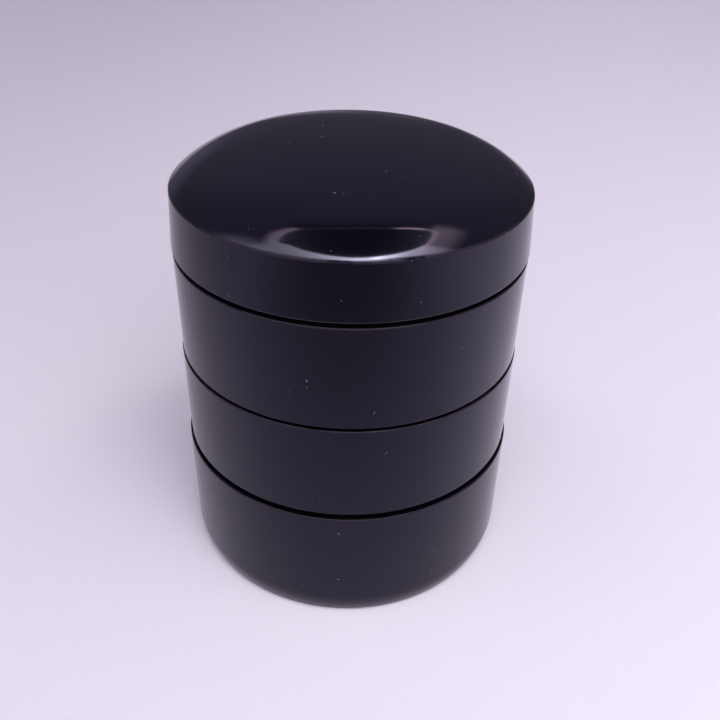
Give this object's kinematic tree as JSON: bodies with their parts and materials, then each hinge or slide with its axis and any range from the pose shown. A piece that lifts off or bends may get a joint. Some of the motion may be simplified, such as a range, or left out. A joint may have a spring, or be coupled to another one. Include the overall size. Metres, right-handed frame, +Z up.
{
  "type": "stacking incense box",
  "caption": "Round stacking box of turned wood in black lacquer: boxes with raised lips fit one on another under a domed lid, and each lifts straight off.",
  "frame": {"origin": "centre of the underside, on the surface that the box stands on", "axes": "+Z up along the box's axis, from the foot to the lid; the box is round, so X and Y are free"},
  "size_m": [0.0626, 0.0626, 0.0809],
  "materials": {
    "black_lacquer": "turned wood under a polished black lacquer coat",
    "lining_metal": "tinned sheet, dull silver, spun rings"
  },
  "bodies": {
    "lower_box": {"lower_box": "black_lacquer", "lower_lining": "lining_metal"},
    "middle_box": {"middle_box": "black_lacquer"},
    "upper_box": {"upper_box": "black_lacquer"},
    "lid": {"lid": "black_lacquer"}
  },
  "joints": [
    {"name": "middle_lift", "type": "slide", "parent": "lower_box", "child": "middle_box", "axis": [0, 0, 1], "range_m": [0, 0.04]},
    {"name": "upper_lift", "type": "slide", "parent": "middle_box", "child": "upper_box", "axis": [0, 0, 1], "range_m": [0, 0.04]},
    {"name": "lid_lift", "type": "slide", "parent": "upper_box", "child": "lid", "axis": [0, 0, 1], "range_m": [0, 0.04]}
  ]
}
